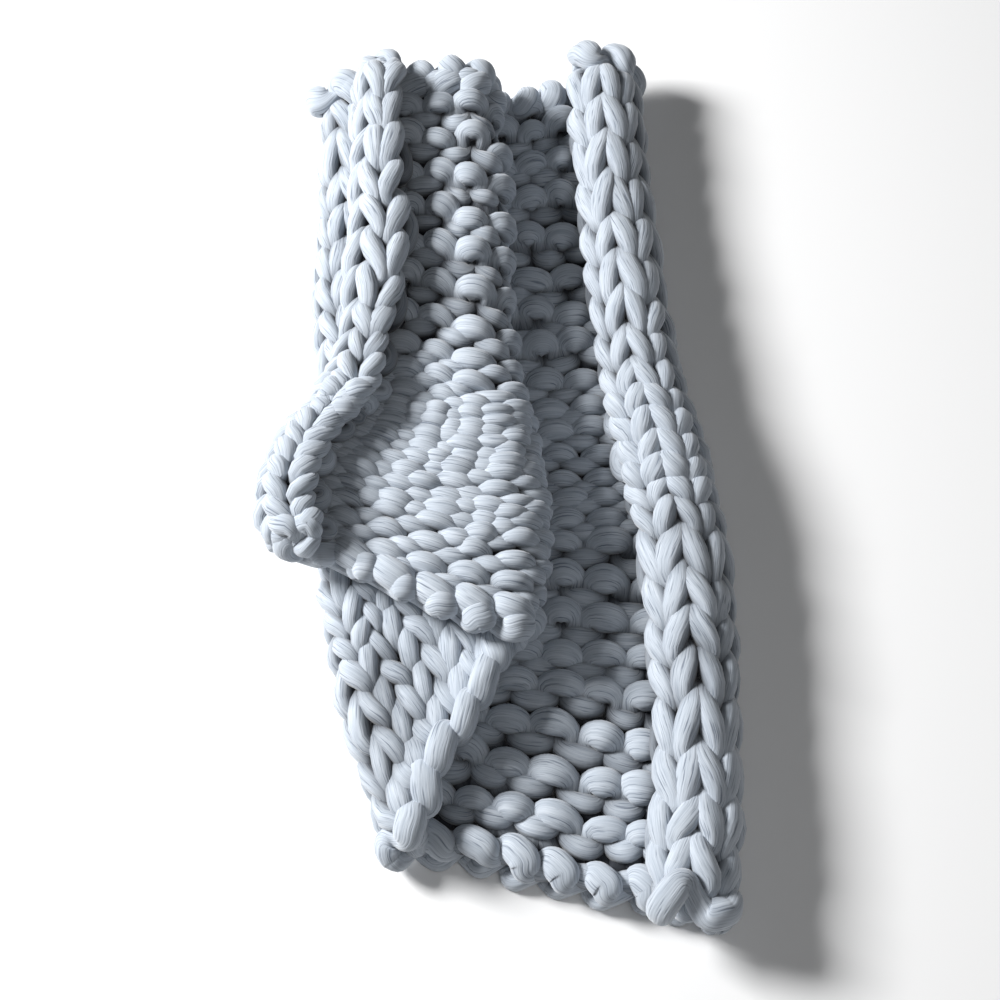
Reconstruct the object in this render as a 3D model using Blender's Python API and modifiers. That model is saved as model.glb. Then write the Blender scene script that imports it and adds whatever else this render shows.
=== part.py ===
"""Chunky knit blanket, folded in three lengthways and laid flat: one sheet, one closed solid.

The cloth is followed one knitted row at a time. A row starts at the left selvage, which curls over into
a roll, crosses the top layer, turns under at the hump, crosses the middle layer, turns under again at the
left fold, crosses the floor layer and ends in the right selvage roll. Each row is a belt led round those
turns, which work like pulleys lying along the blanket. The tables say where each pulley is at every third
row, and the rows between them are read from smooth curves.

Metres, +Z up, +Y towards row 0, the cast-off edge. The origin is the middle of the footprint, on the floor.
"""

from collections import namedtuple

import bmesh
import bpy
import numpy as np

CLOTH_THICKNESS = 0.036
ROW_STATIONS = 49
STITCH_STATIONS = 73
ARC_STEPS = 24
RUN_STEPS = 24
SHORTEST_ARC = 0.001
LEFT_SELVAGE_ANGLE = 50.0
RIGHT_SELVAGE_ANGLE = 160.0
COUNTER_CLOCKWISE, CLOCKWISE = 1, -1

BLUE_GREY = (0.46, 0.51, 0.56, 1.0)
WOOL_ROUGHNESS = 0.9

Turn = namedtuple("Turn", "row x y z radius")

LEFT_ROLL = (
    #    row     x       y      z     radius
    Turn(0, -0.140, 0.490, 0.128, 0.024),
    Turn(3, -0.135, 0.375, 0.128, 0.024),
    Turn(6, -0.135, 0.260, 0.128, 0.024),
    Turn(9, -0.140, 0.140, 0.128, 0.024),
    Turn(12, -0.160, 0.040, 0.128, 0.024),
    Turn(15, -0.195, -0.010, 0.128, 0.024),
    Turn(18, -0.220, -0.055, 0.128, 0.024),
    Turn(21, -0.225, -0.105, 0.128, 0.024),
    Turn(24, -0.210, -0.150, 0.128, 0.024),
)
HUMP = (
    Turn(0, -0.050, 0.495, 0.090, 0.028),
    Turn(3, -0.035, 0.345, 0.090, 0.028),
    Turn(6, -0.030, 0.200, 0.090, 0.028),
    Turn(9, -0.020, 0.075, 0.090, 0.028),
    Turn(12, -0.005, 0.000, 0.090, 0.028),
    Turn(15, 0.005, -0.060, 0.090, 0.028),
    Turn(18, 0.010, -0.115, 0.088, 0.026),
    Turn(21, 0.010, -0.170, 0.088, 0.026),
    Turn(24, 0.000, -0.240, 0.086, 0.024),
)
MIDDLE_LAYER = (
    Turn(0, -0.120, 0.500, 0.062, 0.0),
    Turn(3, -0.120, 0.375, 0.062, 0.0),
    Turn(6, -0.115, 0.255, 0.062, 0.0),
    Turn(9, -0.110, 0.145, 0.062, 0.0),
    Turn(12, -0.105, 0.040, 0.062, 0.0),
    Turn(15, -0.105, -0.050, 0.062, 0.0),
    Turn(18, -0.095, -0.145, 0.062, 0.0),
    Turn(21, -0.075, -0.245, 0.062, 0.0),
    Turn(24, -0.040, -0.355, 0.062, 0.0),
)
LEFT_FOLD = (
    Turn(0, -0.190, 0.500, 0.040, 0.022),
    Turn(3, -0.185, 0.355, 0.040, 0.022),
    Turn(6, -0.185, 0.220, 0.040, 0.022),
    Turn(9, -0.170, 0.095, 0.040, 0.022),
    Turn(12, -0.165, -0.030, 0.040, 0.022),
    Turn(15, -0.165, -0.140, 0.040, 0.022),
    Turn(18, -0.150, -0.250, 0.040, 0.022),
    Turn(21, -0.120, -0.360, 0.040, 0.022),
    Turn(24, -0.075, -0.475, 0.040, 0.022),
)
RIGHT_ROLL = (
    Turn(0, 0.130, 0.540, 0.050, 0.032),
    Turn(3, 0.140, 0.395, 0.050, 0.032),
    Turn(6, 0.150, 0.235, 0.051, 0.033),
    Turn(9, 0.165, 0.090, 0.053, 0.035),
    Turn(12, 0.190, -0.025, 0.056, 0.038),
    Turn(15, 0.210, -0.150, 0.056, 0.038),
    Turn(18, 0.215, -0.285, 0.053, 0.035),
    Turn(21, 0.210, -0.420, 0.051, 0.033),
    Turn(24, 0.200, -0.540, 0.050, 0.032),
)
PULLEYS = (LEFT_ROLL, HUMP, MIDDLE_LAYER, LEFT_FOLD, RIGHT_ROLL)
TURNS = (COUNTER_CLOCKWISE, CLOCKWISE, COUNTER_CLOCKWISE, COUNTER_CLOCKWISE, COUNTER_CLOCKWISE)


def smooth(knots, values, at):
    """Cubic curve through (knots, values) that never overshoots them.

    The slope at a knot is the harmonic mean of the slopes on its two sides, or level at a peak or a dip.
    """
    knots = np.asarray(knots, float)
    values = np.asarray(values, float)
    sides = np.diff(values) / np.diff(knots)
    before, after = sides[:-1], sides[1:]
    same_way = before * after > 0
    total = np.where(same_way, before + after, 1.0)
    slopes = np.concatenate([sides[:1], np.where(same_way, 2 * before * after / total, 0.0), sides[-1:]])
    span = np.clip(np.searchsorted(knots, at, side="right") - 1, 0, len(knots) - 2)
    width = knots[span + 1] - knots[span]
    t = (at - knots[span]) / width
    start = values[span] * (1 + 2 * t) * (1 - t) ** 2 + slopes[span] * width * t * (1 - t) ** 2
    end = values[span + 1] * t**2 * (3 - 2 * t) + slopes[span + 1] * width * t**2 * (t - 1)
    return start + end


def pulley_at(table, row):
    """The pulley (x, y, z, radius) where this row crosses it."""
    rows = [turn.row for turn in table]
    return np.array([smooth(rows, [turn[k] for turn in table], row) for k in range(1, 5)])


def run_headings(centres, radii):
    """The direction, as an angle in the XZ plane, of each straight run from one pulley to the next."""
    sides = np.array(TURNS) * radii
    step = np.diff(centres, axis=0)
    towards = np.arctan2(step[:, 1], step[:, 0])
    return towards - np.arcsin(np.diff(sides) / np.hypot(step[:, 0], step[:, 1]))


def arc_angles(headings):
    """Where the belt meets and leaves each pulley: a quarter turn before its heading, or after it."""
    spans = []
    for number, turn in enumerate(TURNS):
        first = headings[number - 1] - turn * np.pi / 2 if number else np.radians(LEFT_SELVAGE_ANGLE)
        if number < len(headings):
            last = headings[number] - turn * np.pi / 2
        else:
            last = np.radians(RIGHT_SELVAGE_ANGLE)
        while turn * (last - first) < -1e-9:
            last += turn * 2 * np.pi
        spans.append((first, last))
    return spans


def row_path(row):
    """The middle of the cloth along one row, as a fine line of points from selvage to selvage."""
    pulleys = np.array([pulley_at(table, row) for table in PULLEYS])
    centres, radii = pulleys[:, [0, 2]], pulleys[:, 3]
    line, corners = [], []
    for number, (first, last) in enumerate(arc_angles(run_headings(centres, radii))):
        angles = np.linspace(first, last, ARC_STEPS)
        arc = centres[number] + radii[number] * np.stack([np.cos(angles), np.sin(angles)], axis=1)
        if line:
            line.extend(line[-1] + (arc[0] - line[-1]) * t for t in np.linspace(0, 1, RUN_STEPS)[1:-1])
        line.extend(arc)
        corners.append((len(line) - ARC_STEPS, len(line) - 1))
    line = np.array(line)
    along = np.concatenate([[0], np.cumsum(np.hypot(*np.diff(line, axis=0).T))])
    knots, levels = [], []
    for (first, last), y in zip(corners, pulleys[:, 1]):
        ends = [along[first], along[last]] if along[last] - along[first] > SHORTEST_ARC else [along[last]]
        knots.extend(ends)
        levels.extend([y] * len(ends))
    return np.stack([line[:, 0], smooth(knots, levels, along), line[:, 1]], axis=1)


def evenly(line, count):
    """Points at equal steps along a line."""
    along = np.concatenate([[0], np.cumsum(np.linalg.norm(np.diff(line, axis=0), axis=1))])
    at = np.linspace(0, along[-1], count)
    return np.stack([np.interp(at, along, line[:, axis]) for axis in range(3)], axis=1)


def middle_of_the_cloth():
    """A grid of points on the middle of the cloth: one line across for each row station."""
    last_row = LEFT_ROLL[-1].row
    rows = np.linspace(0, last_row, ROW_STATIONS)
    return np.array([evenly(row_path(row), STITCH_STATIONS) for row in rows])


def sheet_mesh(grid, name):
    """An open surface of quads over the grid, facing the knit side of the cloth."""
    rows, columns = grid.shape[:2]
    bm = bmesh.new()
    points = [[bm.verts.new(point) for point in row] for row in grid]
    for j in range(rows - 1):
        for i in range(columns - 1):
            bm.faces.new((points[j][i], points[j][i + 1], points[j + 1][i + 1], points[j + 1][i]))
    bmesh.ops.recalc_face_normals(bm, faces=bm.faces)
    mesh = bpy.data.meshes.new(name)
    bm.to_mesh(mesh)
    bm.free()
    mesh.shade_smooth()
    return mesh


def thicken(blanket):
    """Gives the sheet half of its thickness on each side."""
    solidify = blanket.modifiers.new("Thickness", "SOLIDIFY")
    solidify.thickness = CLOTH_THICKNESS
    solidify.offset = 0.0


def wool_material():
    wool = bpy.data.materials.new("wool")
    wool.use_nodes = True
    surface = wool.node_tree.nodes["Principled BSDF"]
    surface.inputs["Base Color"].default_value = BLUE_GREY
    surface.inputs["Roughness"].default_value = WOOL_ROUGHNESS
    surface.inputs["Metallic"].default_value = 0.0
    return wool


def clear_scene():
    for obj in list(bpy.data.objects):
        bpy.data.objects.remove(obj)


def build():
    clear_scene()
    collection = bpy.data.collections.new("chunky_knit_blanket")
    bpy.context.scene.collection.children.link(collection)
    blanket = bpy.data.objects.new("knit_blanket", sheet_mesh(middle_of_the_cloth(), "knit_blanket"))
    blanket.data.materials.append(wool_material())
    collection.objects.link(blanket)
    thicken(blanket)


build()
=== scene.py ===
# %% [markdown]
# # A chunky knit blanket, stitch by stitch
#
# The blanket is one cloth of stocking stitch, knitted by hand from one thick strand of combed, unspun
# wool, and laid in a lengthwise zigzag. The plain model gives its folds as one smooth sheet. Here that
# sheet is replaced by the strand itself: every loop is a stretch of a fat, soft tube that passes through
# the loop before it, so the cloth has real gaps, creases and shadows in place of a painted pattern.

# %% Frame
import math

import bpy
import numpy as np
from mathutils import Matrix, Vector


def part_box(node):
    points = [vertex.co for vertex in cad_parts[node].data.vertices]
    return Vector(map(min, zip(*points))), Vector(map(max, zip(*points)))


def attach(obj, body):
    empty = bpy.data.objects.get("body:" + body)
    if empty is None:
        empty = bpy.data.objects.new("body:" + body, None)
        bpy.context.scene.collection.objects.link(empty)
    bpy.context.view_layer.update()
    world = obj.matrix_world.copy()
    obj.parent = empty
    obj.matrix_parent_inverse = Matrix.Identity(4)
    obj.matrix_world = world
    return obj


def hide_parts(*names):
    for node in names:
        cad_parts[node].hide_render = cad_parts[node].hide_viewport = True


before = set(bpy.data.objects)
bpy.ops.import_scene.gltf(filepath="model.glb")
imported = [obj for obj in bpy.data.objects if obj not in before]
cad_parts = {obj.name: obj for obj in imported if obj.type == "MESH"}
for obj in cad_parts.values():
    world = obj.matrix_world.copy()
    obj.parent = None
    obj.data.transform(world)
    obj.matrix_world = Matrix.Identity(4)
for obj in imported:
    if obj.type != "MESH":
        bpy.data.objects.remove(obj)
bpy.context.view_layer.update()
lay_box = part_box("knit_blanket")
print("folded cloth, metres:", [round(high - low, 3) for low, high in zip(*lay_box)])

# %% [markdown]
# ## The fold
#
# A row of stitches runs across the cloth from selvage to selvage. Seen from the end of the blanket it is
# a belt led round five pulleys: the left roll, the hump, a level spot in the middle layer, the left fold
# and the right roll. The tables hold the pulleys at every third row. Rows are counted from the cast-off
# edge at +Y. Following the belt with formulas keeps the layers apart, which a freehand sheet would not.

# %% The pulleys: x, y, z and radius, in metres, at every third row
TABLE_ROWS = np.arange(0, 25, 3)
LEFT_ROLL = [
    (-0.140, 0.490, 0.128, 0.024),
    (-0.135, 0.375, 0.128, 0.024),
    (-0.135, 0.260, 0.128, 0.024),
    (-0.140, 0.140, 0.128, 0.024),
    (-0.160, 0.040, 0.128, 0.024),
    (-0.195, -0.010, 0.128, 0.024),
    (-0.220, -0.055, 0.128, 0.024),
    (-0.225, -0.105, 0.128, 0.024),
    (-0.210, -0.150, 0.128, 0.024),
]
HUMP = [
    (-0.050, 0.495, 0.090, 0.028),
    (-0.035, 0.345, 0.090, 0.028),
    (-0.030, 0.200, 0.090, 0.028),
    (-0.020, 0.075, 0.090, 0.028),
    (-0.005, 0.000, 0.090, 0.028),
    (0.005, -0.060, 0.090, 0.028),
    (0.010, -0.115, 0.088, 0.026),
    (0.010, -0.170, 0.088, 0.026),
    (0.000, -0.240, 0.086, 0.024),
]
MIDDLE_LAYER = [
    (-0.120, 0.500, 0.062, 0.0),
    (-0.120, 0.375, 0.062, 0.0),
    (-0.115, 0.255, 0.062, 0.0),
    (-0.110, 0.145, 0.062, 0.0),
    (-0.105, 0.040, 0.062, 0.0),
    (-0.105, -0.050, 0.062, 0.0),
    (-0.095, -0.145, 0.062, 0.0),
    (-0.075, -0.245, 0.062, 0.0),
    (-0.040, -0.355, 0.062, 0.0),
]
LEFT_FOLD = [
    (-0.190, 0.500, 0.040, 0.022),
    (-0.185, 0.355, 0.040, 0.022),
    (-0.185, 0.220, 0.040, 0.022),
    (-0.170, 0.095, 0.040, 0.022),
    (-0.165, -0.030, 0.040, 0.022),
    (-0.165, -0.140, 0.040, 0.022),
    (-0.150, -0.250, 0.040, 0.022),
    (-0.120, -0.360, 0.040, 0.022),
    (-0.075, -0.475, 0.040, 0.022),
]
RIGHT_ROLL = [
    (0.130, 0.540, 0.050, 0.032),
    (0.140, 0.395, 0.050, 0.032),
    (0.150, 0.235, 0.051, 0.033),
    (0.165, 0.090, 0.053, 0.035),
    (0.190, -0.025, 0.056, 0.038),
    (0.210, -0.150, 0.056, 0.038),
    (0.215, -0.285, 0.053, 0.035),
    (0.210, -0.420, 0.051, 0.033),
    (0.200, -0.540, 0.050, 0.032),
]
PULLEYS = np.array([LEFT_ROLL, HUMP, MIDDLE_LAYER, LEFT_FOLD, RIGHT_ROLL])
print("pulleys:", PULLEYS.shape[0], " table rows:", PULLEYS.shape[1])

# %% [markdown]
# ## Round the pulleys
#
# The tables hold only every third row, so the rows between are read off a smooth curve. A plain cubic could
# swing past a value, and one layer would then dip through the next. This curve stays between the values.
# Each row is then drawn as a belt: arcs round the pulleys and straight runs that touch them. The belt starts
# and ends part of the way round the two rolls, where the selvages curl up.

# %% Which way the belt turns, and where the selvages are
COUNTER_CLOCKWISE, CLOCKWISE = 1, -1
TURNS = np.array([COUNTER_CLOCKWISE, CLOCKWISE, COUNTER_CLOCKWISE, COUNTER_CLOCKWISE, COUNTER_CLOCKWISE])
LEFT_SELVAGE_ANGLE = math.radians(50)
RIGHT_SELVAGE_ANGLE = math.radians(160)


# %% A smooth curve through a few values
def smooth(knots, values, at):
    """Cubic curve through (knots, values) that never overshoots them.

    The slope at a knot is the harmonic mean of the slopes on its two sides, or level at a peak or a dip.
    """
    side = np.diff(values) / np.diff(knots)
    before, after = side[:-1], side[1:]
    same_way = before * after > 0
    total = np.where(same_way, before + after, 1.0)
    slope = np.concatenate([side[:1], np.where(same_way, 2 * before * after / total, 0.0), side[-1:]])
    span = np.clip(np.searchsorted(knots, at, side="right") - 1, 0, len(knots) - 2)
    width = knots[span + 1] - knots[span]
    t = (at - knots[span]) / width
    start = values[span] * (1 + 2 * t) * (1 - t) ** 2 + slope[span] * width * t * (1 - t) ** 2
    end = values[span + 1] * t**2 * (3 - 2 * t) + slope[span + 1] * width * t**2 * (t - 1)
    return start + end


# %% One row of the fold, as a belt round its pulleys
ARC_STEPS, RUN_STEPS = 40, 40
SHORTEST_ARC = 0.001
LEVEL_INSET = 0.35  # share of an arc, at each of its ends, where y still changes
OUTSIDE_SHARE = 0.006


def row_path(pulleys, count):
    """Points along the middle of the cloth for one row, at equal shares of its stitches.

    A straight run between two pulleys heads along the line of centres, turned by the arcsine of the
    difference of the signed radii over the distance. It meets a pulley a quarter turn from its heading.
    Stitches crowd a little on the bends, because the outer face is what the loops fill: a bend counts
    as OUTSIDE_SHARE metres longer for each radian it turns.
    """
    centre, radius = pulleys[:, [0, 2]], pulleys[:, 3]
    step = np.diff(centre, axis=0)
    lean = np.arcsin(np.diff(TURNS * radius) / np.hypot(step[:, 0], step[:, 1]))
    heading = np.arctan2(step[:, 1], step[:, 0]) - lean
    first = np.append(LEFT_SELVAGE_ANGLE, heading - TURNS[1:] * np.pi / 2)
    last = np.append(heading - TURNS[:-1] * np.pi / 2, RIGHT_SELVAGE_ANGLE)
    sweep = np.mod(TURNS * (last - first), 2 * np.pi) * TURNS * (radius > 0)
    angle = first[:, None] + sweep[:, None] * np.linspace(0, 1, ARC_STEPS)
    ring = np.stack([np.cos(angle), np.sin(angle)], axis=2)
    arcs = centre[:, None] + radius[:, None, None] * ring
    share = np.linspace(0, 1, RUN_STEPS)[1:-1, None]
    runs = arcs[:-1, -1, None] + (arcs[1:, 0] - arcs[:-1, -1])[:, None] * share
    line = np.concatenate([part for pair in zip(arcs, runs) for part in pair] + [arcs[-1]])
    along = np.append(0, np.cumsum(np.hypot(*np.diff(line, axis=0).T)))
    starts = np.arange(len(TURNS)) * (ARC_STEPS + RUN_STEPS - 2)
    ends = starts + ARC_STEPS - 1
    inset = LEVEL_INSET * (along[ends] - along[starts])
    knots = np.stack([along[starts] + inset, along[ends] - inset], axis=1)
    level = np.repeat(pulleys[:, 1, None], 2, axis=1)
    real = np.stack([knots[:, 1] - knots[:, 0] > SHORTEST_ARC, np.full(len(TURNS), True)], axis=1)
    y = smooth(knots[real], level[real], np.clip(along, knots[0, 0], knots[-1, 1]))
    turned = np.zeros(len(line))
    for number, (start, end) in enumerate(zip(starts, ends)):
        turned[start + 1:end + 1] = abs(sweep[number]) / (ARC_STEPS - 1)
    points = np.stack([line[:, 0], y, line[:, 1]], axis=1)
    length = np.append(0, np.cumsum(np.linalg.norm(np.diff(points, axis=0), axis=1)))
    stitches = length + OUTSIDE_SHARE * np.cumsum(turned)
    at = np.linspace(0, stitches[-1], count)
    return np.stack([np.interp(at, stitches, points[:, axis]) for axis in range(3)], axis=1), length[-1]


print("halfway row, metres:", row_path(PULLEYS[:, len(TABLE_ROWS) // 2], 2)[1].round(3))

# %% [markdown]
# ## The cloth as a map
#
# Knitting is easiest to describe flat: u counts stitches across, v counts rows, and w is the height above
# the middle of the cloth. `lay` carries any (u, v, w) onto the fold: it reads the middle of the cloth and
# its normal from a fine grid, and goes w along the normal. Whatever interlocks flat then interlocks in
# the fold, so loops never have to be placed one by one. The belts of many rows together make the grid.

# %% The grid of the fold
WALES, COURSES = 26, 23  # stitches across and rows of them
WALE, COURSE = 0.047, 0.045  # the flat size of a stitch, in metres
CELLS_U, CELLS_V = 16, 8  # grid cells to a stitch and to a table row
CAD_ROWS = TABLE_ROWS[-1]
rows = np.linspace(0, CAD_ROWS, CAD_ROWS * CELLS_V + 1)
pulleys = np.array([[smooth(TABLE_ROWS, column, rows) for column in table.T] for table in PULLEYS])
END_ROWS, END_TAPER = 0.9, 0.5
from_end = np.clip(1 - np.minimum(rows, CAD_ROWS - rows) / END_ROWS, 0, 1)
for roll in (0, -1):
    lost = END_TAPER * pulleys[roll, 3] * from_end**2
    pulleys[roll, 3] -= lost
    pulleys[roll, 2] -= lost
paths = [row_path(pulleys[:, :, k], WALES * CELLS_U + 1) for k in range(len(rows))]
middle = np.array([points for points, _ in paths])
row_lengths = np.array([length for _, length in paths])
print("row lengths, metres:", row_lengths.min().round(3), "to", row_lengths.max().round(3))

# %% [markdown]
# ## Where the cloth bunches
#
# Rows aren't evenly spaced: the top layer is pushed together in its middle, and so is the bottom layer a
# little. A crowding table gives the row of the fold at which a course lies, and the layers blend from one
# table to the next across the cloth. The courses then fan out and close up as a real heap of knitting does,
# where evenly spread courses would look printed.

# %% Rows of the fold that the courses take
TOP_CROWDING = np.array([
    (0, -0.2), (4.8, 5.2), (8.6, 9.8), (10.5, 11.6), (13.4, 13.4), (16.2, 15.9), (19.1, 19.0), (22, 22.9),
    (23, 24.3),
])
BOTTOM_CROWDING = np.array([
    (0, -0.2), (4.8, 5.3), (8.6, 9.3), (11.5, 11.7), (14.4, 13.8), (16.2, 15.9), (19.1, 19.1), (22, 22.9),
    (23, 24.3),
])
ROLL_CROWDING = np.array([(0, -0.2), (10, 11.7), (15.5, 14.5), (22, 22.8), (23, 24.2)])
LEFT_ROLL_ENDS, TOP_LAYER_STARTS = 2.0, 4.5
TOP_LAYER_ENDS, BOTTOM_LAYER_STARTS = 8.0, 13.5


def eased(u, start, end):
    """0 before start, 1 after end, and a smooth S between them."""
    share = np.clip((u - start) / (end - start), 0, 1)
    return share**2 * (3 - 2 * share)


def crowd(middle_rows):
    """Redraws the grid so that its lines are courses, each at the row that the crowding tables give it."""
    course = np.linspace(0, COURSES, len(rows))
    top = smooth(TOP_CROWDING[:, 0], TOP_CROWDING[:, 1], course)
    bottom = smooth(BOTTOM_CROWDING[:, 0], BOTTOM_CROWDING[:, 1], course)
    roll = smooth(ROLL_CROWDING[:, 0], ROLL_CROWDING[:, 1], course)
    u = np.linspace(0, WALES, middle_rows.shape[1])
    in_top = eased(u, LEFT_ROLL_ENDS, TOP_LAYER_STARTS)
    in_bottom = eased(u, TOP_LAYER_ENDS, BOTTOM_LAYER_STARTS)
    wanted = roll[:, None] * (1 - in_top)
    wanted = wanted + top[:, None] * (in_top - in_bottom) + bottom[:, None] * in_bottom
    at = wanted * (len(rows) - 1) / CAD_ROWS
    below = np.clip(at.astype(int), 0, len(rows) - 2)
    part = (at - below)[..., None]
    column = np.arange(middle_rows.shape[1])
    return middle_rows[below, column] * (1 - part) + middle_rows[below + 1, column] * part


middle = crowd(middle)
across = np.gradient(middle, axis=1) * CELLS_U
down = np.gradient(middle, axis=0) * (len(rows) - 1) / COURSES
knit_side = np.cross(across, down)
cell_area = np.linalg.norm(knit_side, axis=2, keepdims=True)
knit_side /= cell_area
squeeze = cell_area / (WALE * COURSE)
print("stitch size against the flat one:", squeeze.min().round(2), "to", squeeze.max().round(2))

# %% Carry a point of the flat cloth onto the fold
TIGHTEST, LOOSEST = 0.3, 1.3
SWELL_POWER = -0.3
FLOOR_EASE = 0.006


def read_grid(grid, u, v):
    """The grid's values at (u, v), mixed from its four nearest corners and carried on past an edge."""
    u, v = u * CELLS_U, v * (len(rows) - 1) / COURSES
    column = np.clip(np.floor(u).astype(int), 0, grid.shape[1] - 2)
    row = np.clip(np.floor(v).astype(int), 0, grid.shape[0] - 2)
    p = (u - column)[..., None]
    q = (v - row)[..., None]
    near = grid[row, column] * (1 - p) + grid[row, column + 1] * p
    far = grid[row + 1, column] * (1 - p) + grid[row + 1, column + 1] * p
    return near * (1 - q) + far * q


def lay(path):
    """Flat (x, y, w) in metres to the fold: the middle of the cloth plus w along its normal.

    Where stitches are pushed together the cloth swells, by a power of the lost area.
    """
    u, v, w = path[..., 0] / WALE, path[..., 1] / COURSE, path[..., 2:]
    normal = read_grid(knit_side, u, v)
    tight = read_grid(squeeze, u, v).clip(TIGHTEST, LOOSEST)
    return read_grid(middle, u, v) + w * tight**SWELL_POWER * normal, normal, tight[..., 0]


def settle(points):
    """Near the floor a height eases off exponentially, so wool flattens there and never goes through."""
    z = points[..., 2]
    low = FLOOR_EASE * np.exp(np.minimum(z / FLOOR_EASE, 1) - 1)
    points[..., 2] = np.where(z < FLOOR_EASE, low, z)
    return points


print("middle of the cloth lies at:", lay(np.array([WALES * WALE, COURSES * COURSE, 0]) / 2)[0].round(3))

# %% [markdown]
# ## Uneven hands
#
# No two hand-knitted loops are the same. Random numbers straight from a generator would make them jagged, so
# `wander` joins a few seeded values smoothly: each loop gets its own size, and the change from one to the
# next is soft. `uneven` moves whole patches of the cloth on long sine waves. It shifts a loop together with
# the loops that pass through it, so nothing comes apart.

# %% Seeded unevenness
SEED = 11
JUST_UNDER = 1e-9
rng = np.random.default_rng(SEED)


def wander(rows_of_values, knots, count, spread):
    """Seeded random values at evenly spaced knots, joined by half cosine waves."""
    value = rng.normal(0, spread, (rows_of_values, knots + 1))
    at = np.linspace(0, knots - JUST_UNDER, count)
    knot = at.astype(int)
    ease = (1 - np.cos(np.pi * (at - knot))) / 2
    return value[:, knot] * (1 - ease) + value[:, knot + 1] * ease


# %% Patches of cloth that drift together
SINES, SINE_SIZES = 9, (0.7, 1.5)
SIDEWAYS, ALONG, OUTWARDS = 0, 1, 2
# The way a patch drifts, the size of the patches and how far they go, in metres, and the seed.
DRIFTS = [
    (SIDEWAYS, 0.16, 0.0032, 1), (SIDEWAYS, 0.07, 0.0012, 2),
    (ALONG, 0.16, 0.0036, 3), (ALONG, 0.07, 0.0014, 4),
    (OUTWARDS, 0.22, 0.0025, 5), (OUTWARDS, 0.08, 0.0012, 6),
]


def waves(point, size, height, seed):
    """A gentle uneven field over the flat cloth: the sum of a few sine waves with seeded headings."""
    pick = np.random.default_rng(seed)
    heading = pick.uniform(0, 2 * np.pi, SINES)
    stretch = 2 * np.pi / (size * pick.uniform(*SINE_SIZES, SINES))
    phase = pick.uniform(0, 2 * np.pi, SINES)
    x = point[..., 0, None] * np.cos(heading) + point[..., 1, None] * np.sin(heading)
    return height * np.sin(x * stretch + phase).sum(axis=-1) / math.sqrt(SINES)


def uneven(point):
    """Shifts the flat cloth a little, as hand knitting does: loops drift together with their neighbours."""
    moved = point.copy()
    for axis, size, height, seed in DRIFTS:
        moved[..., axis] += waves(point, size, height, seed)
    return moved


print("first corner drifts, millimetres:", (1000 * uneven(np.zeros(3))).round(1))

# %% [markdown]
# ## Matted wool
#
# Unspun wool felts where it is rubbed: along the near half of the left roll, at one spot halfway down the
# right selvage, and where the near edge folds. Knots modelled one by one would stop being knitting, so the
# loops stay, and a few round patches say where they are flatter and fatter, and where less shade is painted
# between the loops, so that they show paler. A second measure, the room that a stitch has, keeps bunched
# stitches from standing up as domes.

# %% How matted, and how much room
# Where the wool has matted: stitches across, rows down, size in stitches and strength.
FELTED = np.array([
    (0.8, 12.6, 1.7, 1.0), (0.8, 15.5, 1.6, 0.6), (0.8, 18.5, 1.6, 0.6), (0.8, 21.5, 1.6, 0.6),
    (25.7, 11.0, 1.5, 0.9), (24.8, 12.4, 1.1, 0.8), (7.8, 22.6, 1.0, 0.6), (13.8, 22.8, 1.0, 0.6),
])


def felt(u, v):
    """How far the wool is matted together at (u, v), 0 to 1: a bell of each patch's size and strength."""
    away = ((u[..., None] - FELTED[:, 0]) ** 2 + (v[..., None] - FELTED[:, 1]) ** 2) / FELTED[:, 2] ** 2
    return (FELTED[:, 3] * np.exp(-away)).max(axis=-1)


def room_at(u, v):
    """How much of its flat size a stitch keeps at (u, v)."""
    return read_grid(squeeze, u, v)[..., 0].clip(TIGHTEST, 1)


# %% [markdown]
# ## The loop
#
# In stocking stitch every row is one wave of the strand. Its heads and feet lie on the purl side, and its
# legs come through to the knit side, where each pair makes a V. The wave is a known formula: the strand
# swings from side to side twice for each rise and fall, which opens the loop like a Greek omega, and it
# goes in and out of the cloth twice too. A third wave flattens the heads a little. The strand is fattest at
# the head, the foot and the middle of a leg, and is pinched where loops cross. Steps along it are closer
# together at heads and feet, where it bends most, so that the domes of the purl side stay round. The loops
# of the two end courses are cut short where the edge chain pulls them up.

# %% The path of the strand through the flat cloth
STEPS = 32  # to a loop
BEND_STEPS = 0.18  # how much closer the steps are where the strand bends
LOOP_RISE = 0.72 * COURSE
LOOP_SWING = 0.24 * WALE
LOOP_DEPTH = 0.0085
FLAT_HEAD = 0.07  # the share of the third wave
HEAD_DEPTH = 0.0038  # heads lie this much further out on the purl side, and feet this much less
FIRST_COURSE = 1.12  # courses from the edge of the cloth to the middle of the first one
EDGE_RISE = 0.6  # the rise that the loops of an end course keep at the edge
MATTED_FLATTER = 0.55
RISE_SPREAD, SWING_SPREAD, DEPTH_SPREAD, STEP_SPREAD = 0.09, 0.13, 0.12, 0.0017


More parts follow.
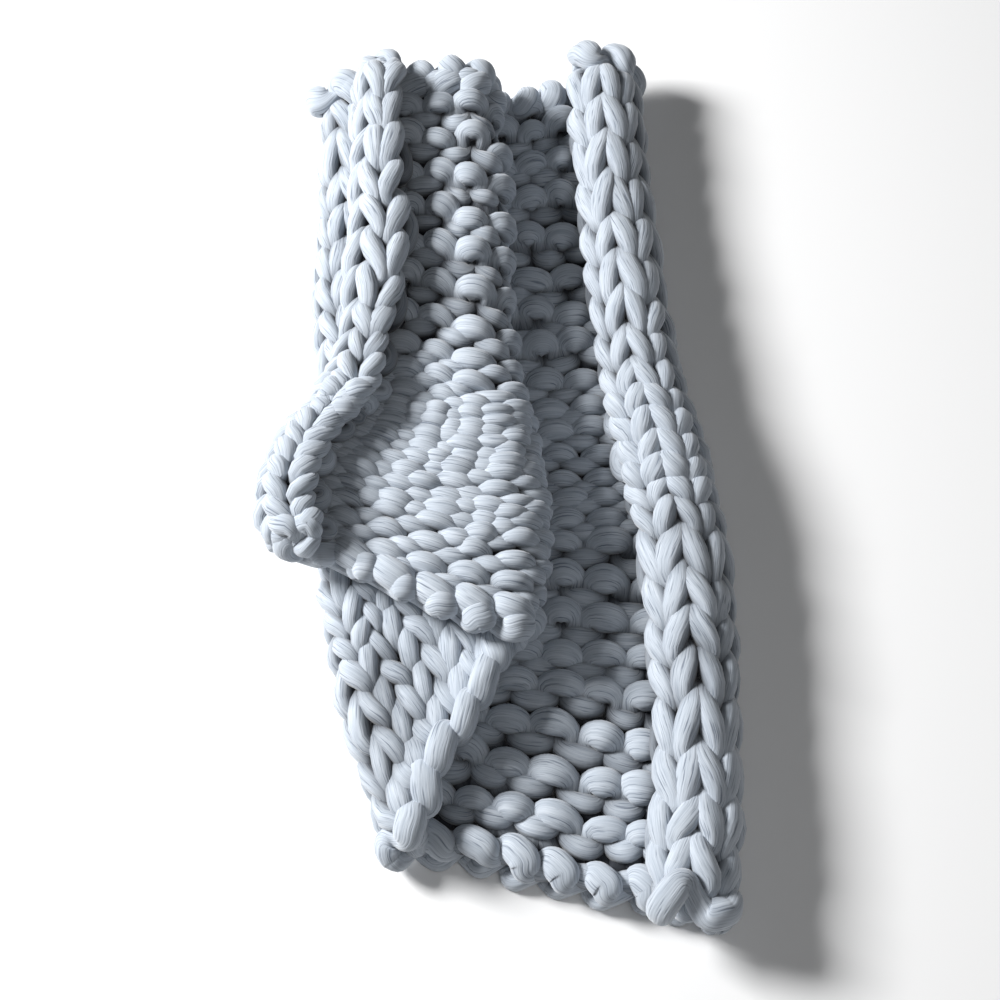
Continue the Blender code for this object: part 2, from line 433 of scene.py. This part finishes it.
def course_paths():
    """The middle of the strand for all the courses, with t as the loop's angle.

    x goes forward with t and swings by the sine of 2t. y rises and falls by the cosine of t, less a share of
    the cosine of 3t. w goes in and out by the cosine of 2t, and further out at the heads.
    """
    count = WALES * STEPS + 1
    t = np.linspace(0, 2 * np.pi * WALES, count)
    t = t - BEND_STEPS * np.sin(2 * t)
    spacing = (COURSES - 2 * FIRST_COURSE) / (COURSES - 1)
    centre = (FIRST_COURSE + np.arange(COURSES)[:, None] * spacing) * COURSE
    rise = LOOP_RISE * (1 + wander(COURSES, 2 * WALES, count, RISE_SPREAD))
    swing = LOOP_SWING * (1 + wander(COURSES, 2 * WALES, count, SWING_SPREAD))
    depth = LOOP_DEPTH * (1 + wander(COURSES, 4 * WALES, count, DEPTH_SPREAD))
    x = WALE * t / (2 * np.pi) + swing * np.sin(2 * t) + wander(COURSES, 2 * WALES, count, STEP_SPREAD)
    rise[0] *= np.where(np.cos(t) < 0, EDGE_RISE, 1)
    rise[-1] *= np.where(np.cos(t) > 0, EDGE_RISE, 1)
    y = centre + rise * (np.cos(t) - FLAT_HEAD * np.cos(3 * t)) / (1 - FLAT_HEAD)
    u, v = np.broadcast_arrays(x / WALE, y / COURSE)
    w = -depth * np.cos(2 * t) + HEAD_DEPTH * room_at(u, v) ** 2 * np.cos(t)
    w = w * (1 - MATTED_FLATTER * felt(u, v))
    return np.stack([x, y, w], axis=2), t


paths_flat, loop_angle = course_paths()
print("stitches:", COURSES * WALES, " strand in the courses, metres:",
      round(float(np.linalg.norm(np.diff(paths_flat, axis=1), axis=2).sum()), 1))

# %% [markdown]
# ## Round the selvage
#
# One strand knits the whole cloth, back and forth. At the end of a course it goes round the selvage and into
# the next one, first at the right and then at the left. Half an oval does that: it leaves from the last foot
# of the course and stops inside the strand of the next course, so the join is hidden.

# %% The turn into the next course
SELVAGE_BOW, SELVAGE_LIFT = 0.35 * WALE, 0.5 * LOOP_DEPTH


def selvage_turn(paths):
    """Each course's way round the selvage to the next: half an oval from its last foot to the next one's."""
    bow = np.linspace(0, np.pi, STEPS // 2)[1:, None]
    turned = []
    for number, path in enumerate(paths):
        if number + 1 == len(paths):
            turned.append(path)
            continue
        right = number % 2 == 0
        start, end = (path[-1], paths[number + 1][-1]) if right else (path[0], paths[number + 1][0])
        out = np.array([SELVAGE_BOW if right else -SELVAGE_BOW, 0, SELVAGE_LIFT])
        bend = start + (end - start) * (1 - np.cos(bow)) / 2 + out * np.sin(bow)
        turned.append(np.concatenate([path, bend] if right else [bend[::-1], path]))
    return turned


turned_paths = selvage_turn(paths_flat)
print("courses:", len(turned_paths), " points along the first:", len(turned_paths[0]))

# %% [markdown]
# ## The strand
#
# Unspun wool isn't round. It is a ribbon of combed fibres that swells between crossings, with a few soft
# furrows where the fibres part. The tube's section is a slightly squared oval, the shape that soft tubes
# press each other into. Its radius gets slow lobes, and three furrows that wind slowly round. A bevelled
# curve could draw a plain tube, but it can't be pressed, furrowed and flattened on the floor point by point.
# So all the rings of a course are worked out in one go as an array, square to the strand after it has been
# laid on the fold.

# %% Rings round a path
AROUND = 20
SQUARENESS = 2.5  # 2 is a circle, and more is squarer
LOBES = ((2, 0.035), (3, 0.03))  # how many round the strand, and their height as a share of the radius
LOBE_TURN = 1.6
FURROWS, FURROW_WIDTH = 3, 0.30
FURROW_DEPTH, DEEPEST_FURROW = 0.09, 0.16
WIND_SPREAD, WIND_RATE = 0.05, 0.3
WIND_KNOT, LOBE_KNOT, FURROW_KNOT = 12, 14, 10  # rings from one seeded value to the next
NARROWEST, WIDEST = 0.7, 1.1


def strand_rings(path, width, depth, give):
    """Rings of points on the fold: path + radius(angle) * (width cos(angle) sideways + depth sin(angle) out).

    Sideways is in the cloth and out is away from its middle. The radius is that of a slightly squared circle,
    plus two sets of lobes that turn slowly, less three furrows that wind round. Where stitches are tight the
    strand is pressed narrower: its width is multiplied by their size to the power given as give.
    """
    core, normal, tight = lay(path)
    ahead = np.gradient(core, axis=0)
    ahead /= np.linalg.norm(ahead, axis=1, keepdims=True)
    sideways = np.cross(normal, ahead)
    sideways /= np.linalg.norm(sideways, axis=1, keepdims=True)
    outwards = np.cross(ahead, sideways)
    count = len(path)
    angle = np.linspace(0, 2 * np.pi, AROUND, endpoint=False)
    wind = np.cumsum(wander(1, count // WIND_KNOT, count, WIND_SPREAD)[0]) * WIND_RATE
    square = (abs(np.cos(angle)) ** SQUARENESS + abs(np.sin(angle)) ** SQUARENESS) ** (-1 / SQUARENESS)
    radius = np.broadcast_to(square, (count, AROUND)).copy()
    for lobes, height in LOBES:
        phase = wander(1, count // LOBE_KNOT, count, LOBE_TURN)[0]
        radius += height * np.cos(lobes * angle + phase[:, None])
    for start in rng.uniform(0, 2 * np.pi, FURROWS):
        away = np.angle(np.exp(1j * (angle - start - wind[:, None])))
        deep = np.clip(wander(1, count // FURROW_KNOT, count, FURROW_DEPTH)[0], 0, DEEPEST_FURROW)
        radius -= deep[:, None] * np.exp(-((away / FURROW_WIDTH) ** 2))
    pressed = np.clip(tight**give, NARROWEST, WIDEST)
    across = (pressed * width)[:, None] * radius * np.cos(angle)
    out = depth[:, None] * radius * np.sin(angle)
    rings = settle(core[:, None] + across[..., None] * sideways[:, None] + out[..., None] * outwards[:, None])
    return rings, path[:, 2:] + out


# %% [markdown]
# ## From rings to a mesh
#
# Neighbouring rings are joined by quads, and each end gets a flat cap. The mesh carries two maps. The strand
# map counts metres along the strand and round it, so that streaks run with the fibres through every bend.
# The atlas gives every quad a place of its own, for colours that are baked into one picture. A third value,
# light, is 0 deep in the cloth and 1 on its face: it sets how much shade between the loops is painted into
# the wool's colour.

# %% The quads and the two maps of a tube
ATLAS_STRIPS = 3
STRIP_MARGIN, END_MARGIN = 0.08, 0.01


def tube_faces(rings, first):
    """Quads between neighbouring rings, as corner numbers counted from the tube's first point."""
    ring, step = np.meshgrid(np.arange(rings - 1), np.arange(AROUND), indexing="ij")
    following = (step + 1) % AROUND
    corner = first + ring * AROUND
    quads = np.stack([corner + step, corner + following, corner + AROUND + following,
                      corner + AROUND + step], axis=2)
    return quads.reshape(-1, 4)


def tube_map(rings, length, girth, slot, slots):
    """Two maps for a tube's quads: strand metres along and round, and its strips of the shared atlas."""
    ring, step = np.meshgrid(np.arange(rings - 1), np.arange(AROUND), indexing="ij")
    corners_ring = np.stack([ring, ring, ring + 1, ring + 1], axis=2)
    corners_step = np.stack([step, step + 1, step + 1, step], axis=2)
    strand = np.stack([length[corners_ring], girth * corners_step / AROUND], axis=3)
    strip_rings = -(-(rings - 1) // ATLAS_STRIPS)
    strip = (ring // strip_rings)[..., None] + slot * ATLAS_STRIPS
    along = (corners_ring - (ring // strip_rings)[..., None] * strip_rings) / strip_rings
    place = strip + STRIP_MARGIN + (1 - 2 * STRIP_MARGIN) * corners_step / AROUND
    place = place / (slots * ATLAS_STRIPS)
    atlas = np.stack([END_MARGIN + (1 - 2 * END_MARGIN) * along, place], axis=3)
    return strand.reshape(-1, 2), atlas.reshape(-1, 2)


# %% One mesh from several tubes
GIRTH = 0.08
SPOOL = 40


def strand_mesh(name, tubes, lit):
    """One mesh from several tubes of rings, each closed by a cap, with the strand map and the atlas.

    Each tube comes with its points' heights from the middle of the cloth. The light attribute, the mask of
    the painted shade, grows from 0 in the middle to 1 at the height given as lit.
    """
    # The mask for shade painted into the wool between the loops.
    light = np.concatenate([np.clip(abs(height) / lit, 0, 1).ravel() for _, height in tubes])
    tubes = [rings for rings, _ in tubes]
    points, quads, strand_uv, atlas_uv, caps = [], [], [], [], []
    first = 0
    for slot, rings in enumerate(tubes):
        count = len(rings)
        core = rings.mean(axis=1)
        length = np.append(0, np.cumsum(np.linalg.norm(np.diff(core, axis=0), axis=1)))
        length = length + rng.uniform(0, SPOOL)
        points.append(rings.reshape(-1, 3))
        quads.append(tube_faces(count, first))
        strand, atlas = tube_map(count, length, GIRTH, slot, len(tubes))
        strand_uv.append(strand)
        atlas_uv.append(atlas)
        caps.append(first + np.arange(AROUND)[::-1])
        caps.append(first + (count - 1) * AROUND + np.arange(AROUND))
        first += count * AROUND
    points, quads = np.concatenate(points), np.concatenate(quads)
    strand_uv, atlas_uv = np.concatenate(strand_uv), np.concatenate(atlas_uv)
    corners = np.concatenate([quads.ravel(), *caps]).astype(np.int32)
    starts = np.append(np.arange(len(quads)) * 4, len(quads) * 4 + np.arange(len(caps)) * AROUND)
    mesh = bpy.data.meshes.new(name)
    mesh.vertices.add(len(points))
    mesh.vertices.foreach_set("co", points.ravel())
    mesh.loops.add(len(corners))
    mesh.loops.foreach_set("vertex_index", corners)
    mesh.polygons.add(len(starts))
    mesh.polygons.foreach_set("loop_start", starts.astype(np.int32))
    mesh.update(calc_edges=True)
    for layer, uv in (("strand", strand_uv), ("OFBake", atlas_uv)):
        full = np.zeros((len(corners), 2))
        full[:len(uv)] = uv
        mesh.uv_layers.new(name=layer).uv.foreach_set("vector", full.ravel())
    mesh.attributes.new("light", "FLOAT", "POINT").data.foreach_set("value", light)
    mesh.shade_smooth()
    return mesh


# %% [markdown]
# ## The wool
#
# Combed wool is matt, with a faint sheen from loose fibres. Its colour is a light blue-grey, mixed from
# pale and darker fibres that run along the strand. A picture of wool would repeat and blur, so the streaks
# are noise, stretched hard along the strand map: broad bands of tone, fine pale heather, and a few dark
# lines where the fibres part. The bands and lines also raise and sink the surface a little. Deep between
# the loops the colour is darkened as well: painted shade.

# %% Nodes that the wool is mixed from
def add_node(tree, kind, **settings):
    """A new node, with each setting put on the socket of that name, or else on the node itself."""
    made = tree.nodes.new(kind)
    for key, value in settings.items():
        if key in made.inputs:
            made.inputs[key].default_value = value
        else:
            setattr(made, key, value)
    return made


def streaks(tree, strand, along, round_it, detail, rough):
    """Noise with so many repeats to a metre along the strand and to a metre round it."""
    spot = add_node(tree, "ShaderNodeMapping", Scale=(along, round_it, 1.0))
    tree.links.new(strand.outputs["UV"], spot.inputs["Vector"])
    noise = add_node(tree, "ShaderNodeTexNoise", Scale=1.0, Detail=detail, Roughness=rough)
    tree.links.new(spot.outputs["Vector"], noise.inputs["Vector"])
    return noise.outputs["Fac"]


def ramp(tree, source, *stops):
    """A colour for each value of the source, mixed between the stops of (value, colour)."""
    node = add_node(tree, "ShaderNodeValToRGB")
    for element, (position, color) in zip(node.color_ramp.elements, stops):
        element.position = position
        element.color = (*color, 1)
    tree.links.new(source, node.inputs["Fac"])
    return node.outputs["Color"]


def darken(tree, color, by):
    """One colour times another."""
    node = add_node(tree, "ShaderNodeMix", data_type="RGBA", blend_type="MULTIPLY")
    node.inputs["Factor"].default_value = 1.0
    tree.links.new(color, node.inputs["A"])
    tree.links.new(by, node.inputs["B"])
    return node.outputs["Result"]


# %% The wool material
# Repeats to a metre along the strand and round it, then the noise's detail and roughness.
BROAD_BANDS = (16.0, 160.0, 2.0, 0.5)
FINE_HEATHER = (30.0, 900.0, 2.0, 0.6)
DARK_LINES = (34.0, 560.0, 2.0, 0.5)
GREY_WOOL, PALE_WOOL = (0.42, 0.465, 0.52), (0.55, 0.595, 0.65)
HEATHER_TINT, LINE_TINT = (0.78, 0.795, 0.82), (0.44, 0.46, 0.50)
# The first colour is painted shade for the hollows between the loops, the second leaves the wool as it is.
PAINTED_SHADE_TINT, NO_TINT = (0.04, 0.042, 0.05), (1.0, 1.0, 1.0)
RELIEF_STRENGTH, RELIEF_HEIGHT = 0.5, 0.0015
MATT, DULL = 0.85, 0.25
SHEEN, SHEEN_SPREAD = 0.35, 0.5


def wool_material():
    """Base colour = tone bands x heather x dark lines x painted hollow shade; relief = bands less dark lines.
    """
    wool = bpy.data.materials.new("wool")
    wool.use_nodes = True
    tree = wool.node_tree
    surface = tree.nodes["Principled BSDF"]
    strand = add_node(tree, "ShaderNodeUVMap", uv_map="strand")
    bands = streaks(tree, strand, *BROAD_BANDS)
    heather = streaks(tree, strand, *FINE_HEATHER)
    lines = streaks(tree, strand, *DARK_LINES)
    light = add_node(tree, "ShaderNodeAttribute", attribute_name="light")
    color = ramp(tree, bands, (0.30, GREY_WOOL), (0.70, PALE_WOOL))
    color = darken(tree, color, ramp(tree, heather, (0.36, HEATHER_TINT), (0.62, NO_TINT)))
    color = darken(tree, color, ramp(tree, lines, (0.56, NO_TINT), (0.68, LINE_TINT)))
    # Painted shade: the wool is darkened deep in the cloth, where shade falls between the loops.
    color = darken(tree, color, ramp(tree, light.outputs["Fac"], (0.20, PAINTED_SHADE_TINT), (0.88, NO_TINT)))
    tree.links.new(color, surface.inputs["Base Color"])
    relief = add_node(tree, "ShaderNodeMath", operation="SUBTRACT")
    tree.links.new(bands, relief.inputs[0])
    tree.links.new(lines, relief.inputs[1])
    bump = add_node(tree, "ShaderNodeBump", Strength=RELIEF_STRENGTH, Distance=RELIEF_HEIGHT)
    tree.links.new(relief.outputs[0], bump.inputs["Height"])
    tree.links.new(bump.outputs["Normal"], surface.inputs["Normal"])
    surface.inputs["Roughness"].default_value = MATT
    surface.inputs["Specular IOR Level"].default_value = DULL
    surface.inputs["Sheen Weight"].default_value = SHEEN
    surface.inputs["Sheen Roughness"].default_value = SHEEN_SPREAD
    return wool


wool = wool_material()
print("wool nodes:", len(wool.node_tree.nodes))


# %% A piece in wool
def wear(mesh, *stands_for):
    """Makes a piece of the mesh, in wool, riding on the one body, and says how heavy it is to draw."""
    mesh.materials.append(wool)
    piece = bpy.data.objects.new(mesh.name, mesh)
    bpy.context.scene.collection.objects.link(piece)
    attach(piece, "root")
    if stands_for:
        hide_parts(*stands_for)
    print(piece.name, "triangles:", sum(len(face.vertices) - 2 for face in mesh.polygons))


# %% [markdown]
# ## Knitting it
#
# On the real blanket a course is one pass of the knitter's hands, and here it is one closed tube. All 23
# courses in one mesh would be too heavy, and a mesh for each would be a long list, so they are cut into
# pieces of five. The widths come from the loop's own angle, which keeps the fat and thin places of all the
# loops in step with the shape of the loop.

# %% One course
STRAND_WIDTH, STRAND_DEPTH, STRAND_GIVE = 0.0122, 0.0118, 0.35
LEG_SWELL, HEAD_SWELL, FAT_SPREAD = 0.14, 0.13, 0.08
DEPTH_SHARE = 0.5
# The last share takes painted shade off matted wool, so that it shows paler.
MATTED_PINCH, MATTED_FATTER, MATTED_LESS_SHADE = 0.12, 0.36, 0.5


def course_rings(number):
    """One course of the strand, laid on the fold, as rings and heights from the middle of the cloth.

    The width swells with the cosine of four times the loop's angle, so four times a loop, and is fatter at
    the head than at the foot where the loop has room. The depth changes by DEPTH_SHARE as much.
    """
    path = turned_paths[number]
    extra = len(path) - len(loop_angle)
    before = extra if number % 2 else 0
    angle = np.concatenate([np.zeros(before), loop_angle, np.zeros(extra - before)])
    u, v = path[:, 0] / WALE, path[:, 1] / COURSE
    matted = felt(u, v)
    fat = 1 + (LEG_SWELL + MATTED_PINCH * matted) * np.cos(4 * angle)
    fat = fat - HEAD_SWELL * room_at(u, v) * np.cos(angle)
    fat = fat * (1 + wander(1, 2 * WALES, len(path), FAT_SPREAD)[0]) * (1 + MATTED_FATTER * matted)
    width = STRAND_WIDTH * fat
    depth = STRAND_DEPTH * (1 - DEPTH_SHARE + DEPTH_SHARE * fat)
    rings, height = strand_rings(uneven(path), width, depth, STRAND_GIVE)
    # Matted patches get less of the painted shade: the heights that drive it are raised there.
    return rings, height / (1 - MATTED_LESS_SHADE * matted)[:, None]


# %% The pieces of five courses
COURSES_A_PIECE = 5
# The painted shade between the loops fades out by this height from the middle of the cloth.
CLOTH_LIT = 0.020  # metres from the middle of the cloth at which the wool is fully lit
for first in range(0, COURSES, COURSES_A_PIECE):
    chosen = range(first, min(first + COURSES_A_PIECE, COURSES))
    name = f"wool_courses_{first + 1:02d}_{chosen[-1] + 1:02d}"
    wear(strand_mesh(name, [course_rings(number) for number in chosen], CLOTH_LIT), "knit_blanket")

# %% [markdown]
# ## The edges
#
# Both ends are finished with a chain: a row of loops on its side, each drawn through the one before. Seen
# flat it is a line of Vs, so it has an inner and an outer row of leaves that mirror each other, one leaf of
# each to a stitch. Each row of leaves is a fat ply on a narrow corkscrew, and the two turn opposite ways.
# Only the leaves of a real chain show, so the hidden part of each loop is left out. The chain lies flat on
# the top layer. Further on it has rolled up onto the knit side, as stocking stitch does.

# %% One ply of a chain
CHAIN_RADIUS = 0.0068  # of the corkscrew
CHAIN_APART = 0.0098  # from the chain's own middle to the corkscrew's
CHAIN_WIDTH, CHAIN_DEPTH, CHAIN_GIVE = 0.0140, 0.0128, 0.0
CHAIN_STEPS = 30
CHAIN_END, SMALLEST_END = 0.020, 0.02
CHAIN_SPREAD = 0.0015
# Stitches across, and how far the chain lies from the middle of the cloth there: minus is the purl side.
CHAIN_SIDE = np.array([
    (0, 0.003), (2.5, -0.005), (7.5, -0.006), (10, 0.006), (12.5, 0.004), (13.8, -0.007), (15.2, -0.002),
    (17, 0.003), (26, 0.003),
])
CHAIN_FLAT_TO, CHAIN_ROLLED_FROM = 7.5, 10.5
CHAIN_ROLL = math.radians(78)
LEAF_SWELL, LEAF_DWELL, LEAF_SPREAD = 0.20, 0.55, 0.07
TOP_FACE, EDGE_FACE = 1.5 * np.pi, np.pi  # the turn of the corkscrew that shows, flat and rolled up
FULLY_LIT = 1.0


def chain_rings(row, outwards, ply):
    """One ply of a chain: an axis beside the edge, plus a corkscrew with one turn to a stitch.

    Outwards is +1 or -1, the way from the cloth over its edge in rows. Ply is +1 for the outer leaves and -1
    for the inner ones, which are the same ply mirrored. The pair is then rolled towards the knit side. A leaf
    dwells and swells where its ply passes the face that shows, and is thin and quick behind its neighbour.
    The ends are rounded off like half a ball. A chain lies on top, so all of it counts as lit.
    """
    count = WALES * CHAIN_STEPS + 1
    x = np.linspace(0, WALES * WALE, count)
    u = x / WALE
    face = TOP_FACE + (EDGE_FACE - TOP_FACE) * eased(u, CHAIN_FLAT_TO, CHAIN_ROLLED_FROM)
    turn = 2 * np.pi * u - LEAF_DWELL * np.sin(2 * np.pi * u - face)
    over = ply * (CHAIN_APART - CHAIN_RADIUS * np.cos(turn))
    up = CHAIN_RADIUS * np.sin(turn)
    roll = CHAIN_ROLL * eased(u, CHAIN_FLAT_TO, CHAIN_ROLLED_FROM)
    cosine, sine = np.cos(roll), np.sin(roll)
    side = smooth(CHAIN_SIDE[:, 0], CHAIN_SIDE[:, 1], u)
    y = row * COURSE + outwards * (over * cosine - up * sine) + wander(1, WALES, count, CHAIN_SPREAD)[0]
    path = np.stack([x, y, side + over * sine + up * cosine], axis=1)
    end = np.clip(np.minimum(x, x[-1] - x) / CHAIN_END, SMALLEST_END, 1)
    fat = 1 + LEAF_SWELL * np.cos(turn - face) + wander(1, WALES, count, LEAF_SPREAD)[0]
    fat = fat * np.sqrt(1 - (1 - end) ** 2)
    rings, height = strand_rings(uneven(path), CHAIN_WIDTH * fat, CHAIN_DEPTH * fat, CHAIN_GIVE)
    return rings, np.full(height.shape, FULLY_LIT)


# %% The two chains
CHAIN_INSET = 0.62
INNER, OUTER = -1, 1
for name, row, outwards in (("cast_off_chain", CHAIN_INSET, -1), ("cast_on_chain", COURSES - CHAIN_INSET, 1)):
    wear(strand_mesh(name, [chain_rings(row, outwards, ply) for ply in (INNER, OUTER)], FULLY_LIT))

# %% [markdown]
# ## Floor, light and camera
#
# The blanket lies on a plain pale floor. One large lamp stands far off to the left and a little behind, as a
# window would. It is low enough that the hump shades the valley beside the right roll, and far enough away
# that the left fold isn't much brighter than the rest. A weak lamp overhead and a faint sky open the shadows.
# A long lens looks down steeply from the near end, so the far end is hardly smaller than the near one.

# %% Floor
FLOOR_REACH = 6
FLOOR_WHITE, FLOOR_ROUGHNESS = 0.90, 0.8
corners = [(x * FLOOR_REACH, y * FLOOR_REACH, 0) for x, y in ((-1, -1), (1, -1), (1, 1), (-1, 1))]
floor_mesh = bpy.data.meshes.new("floor")
floor_mesh.from_pydata(corners, [], [(0, 1, 2, 3)])
floor = bpy.data.objects.new("floor", floor_mesh)
bpy.context.scene.collection.objects.link(floor)
paint = bpy.data.materials.new("pale_floor")
paint.use_nodes = True
coat = paint.node_tree.nodes["Principled BSDF"]
coat.inputs["Base Color"].default_value = (FLOOR_WHITE, FLOOR_WHITE, FLOOR_WHITE, 1)
coat.inputs["Roughness"].default_value = FLOOR_ROUGHNESS
floor_mesh.materials.append(paint)
print("floor, metres across:", 2 * FLOOR_REACH)


# %% Light
def soft_light(name, place, size, power):
    """A square area light that faces the middle of the blanket."""
    data = bpy.data.lights.new(name, "AREA")
    data.size = size
    data.energy = power
    lamp = bpy.data.objects.new(name, data)
    lamp.location = place
    lamp.rotation_euler = (-Vector(place)).to_track_quat("-Z", "Y").to_euler()
    bpy.context.scene.collection.objects.link(lamp)


SKY, SKY_STRENGTH = (0.93, 0.96, 1.0, 1), 0.05
soft_light("window", place=(-3.4, 1.1, 2.55), size=1.3, power=370)
soft_light("fill", place=(0.6, -1.0, 2.2), size=1.6, power=10)
world = bpy.data.worlds.new("room")
world.use_nodes = True
world.node_tree.nodes["Background"].inputs["Color"].default_value = SKY
world.node_tree.nodes["Background"].inputs["Strength"].default_value = SKY_STRENGTH
bpy.context.scene.world = world
bpy.context.scene.view_settings.view_transform = "Standard"

# %% Camera
CAMERA_RISE = math.radians(68)
CAMERA_AWAY = 2.0
CAMERA_LENS = 62.6
CAMERA_AIM = Vector((0.002, -0.065, 0.06))
camera_data = bpy.data.cameras.new("camera")
camera_data.lens = CAMERA_LENS
camera = bpy.data.objects.new("camera", camera_data)
back = Vector((0, -math.cos(CAMERA_RISE), math.sin(CAMERA_RISE)))
camera.location = CAMERA_AIM + back * CAMERA_AWAY
camera.rotation_euler = (-back).to_track_quat("-Z", "Y").to_euler()
bpy.context.scene.collection.objects.link(camera)
bpy.context.scene.camera = camera
print("camera at:", [round(value, 2) for value in camera.location])
